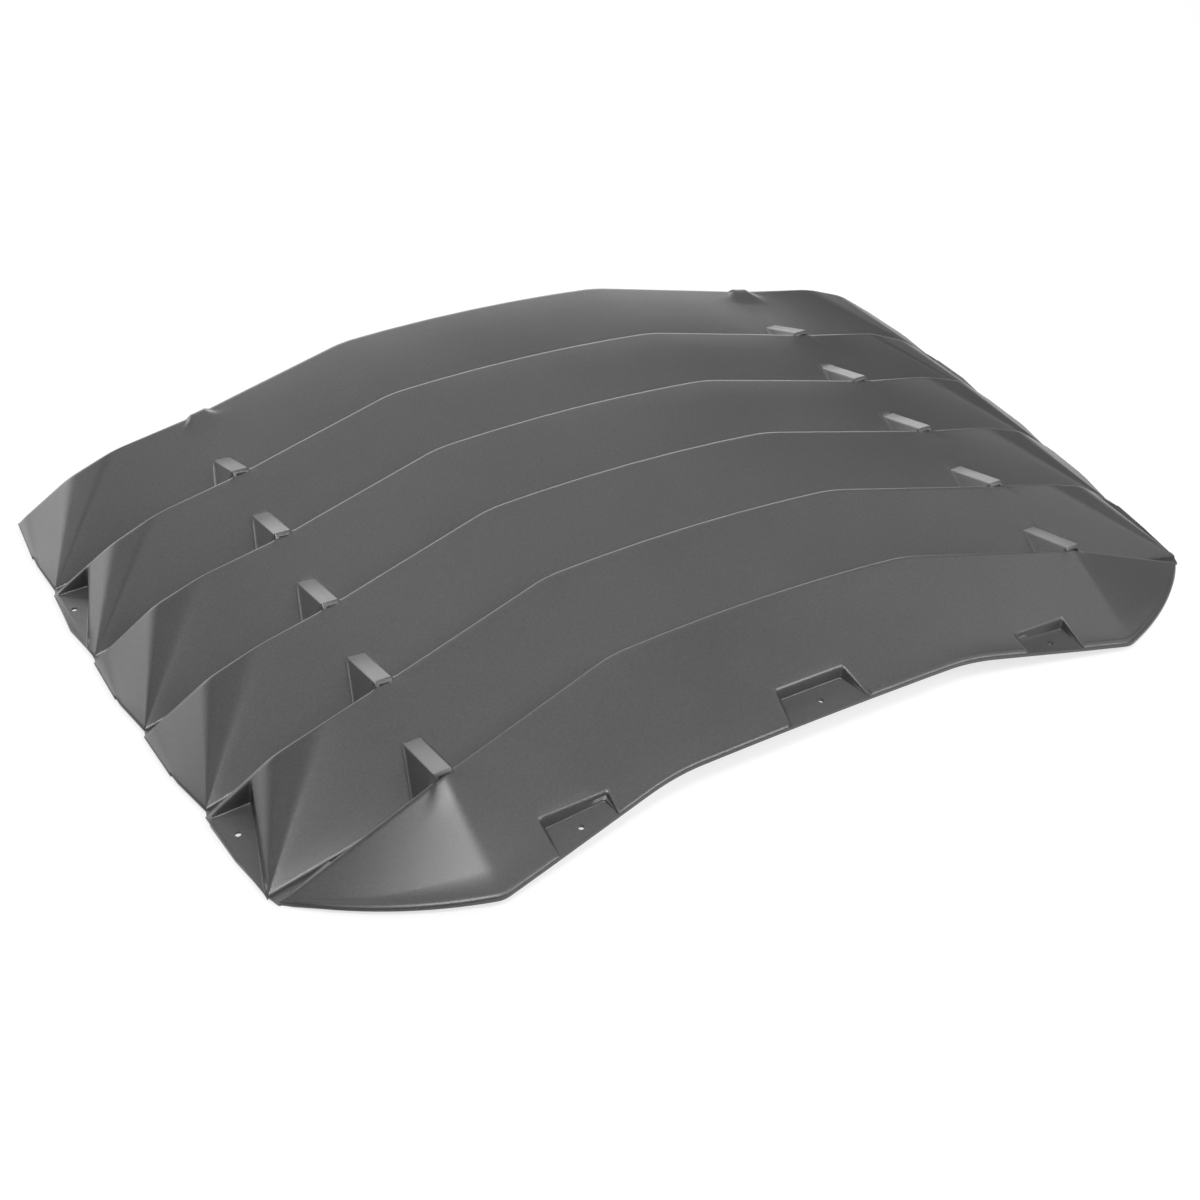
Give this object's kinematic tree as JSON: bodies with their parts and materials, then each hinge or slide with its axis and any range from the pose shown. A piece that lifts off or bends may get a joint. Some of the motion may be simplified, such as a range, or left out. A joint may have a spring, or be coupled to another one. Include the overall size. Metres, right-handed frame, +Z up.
{
  "type": "rear window louver",
  "caption": "Arched, slatted sun louver for a car's rear window, moulded in one piece, with side recesses and front pockets for screws.",
  "frame": {"origin": "middle of the part's bounding box, on the plane that the bases of its four side recesses rest on", "axes": "+X to the car's right seen from the front edge, +Y from the front (roof) edge to the rear edge, +Z up out of the glass"},
  "size_m": [1.2066, 0.829, 0.1022],
  "materials": {
    "louver": "fine-grained satin black"
  },
  "bodies": {
    "root": {"louver": "louver"}
  },
  "joints": []
}
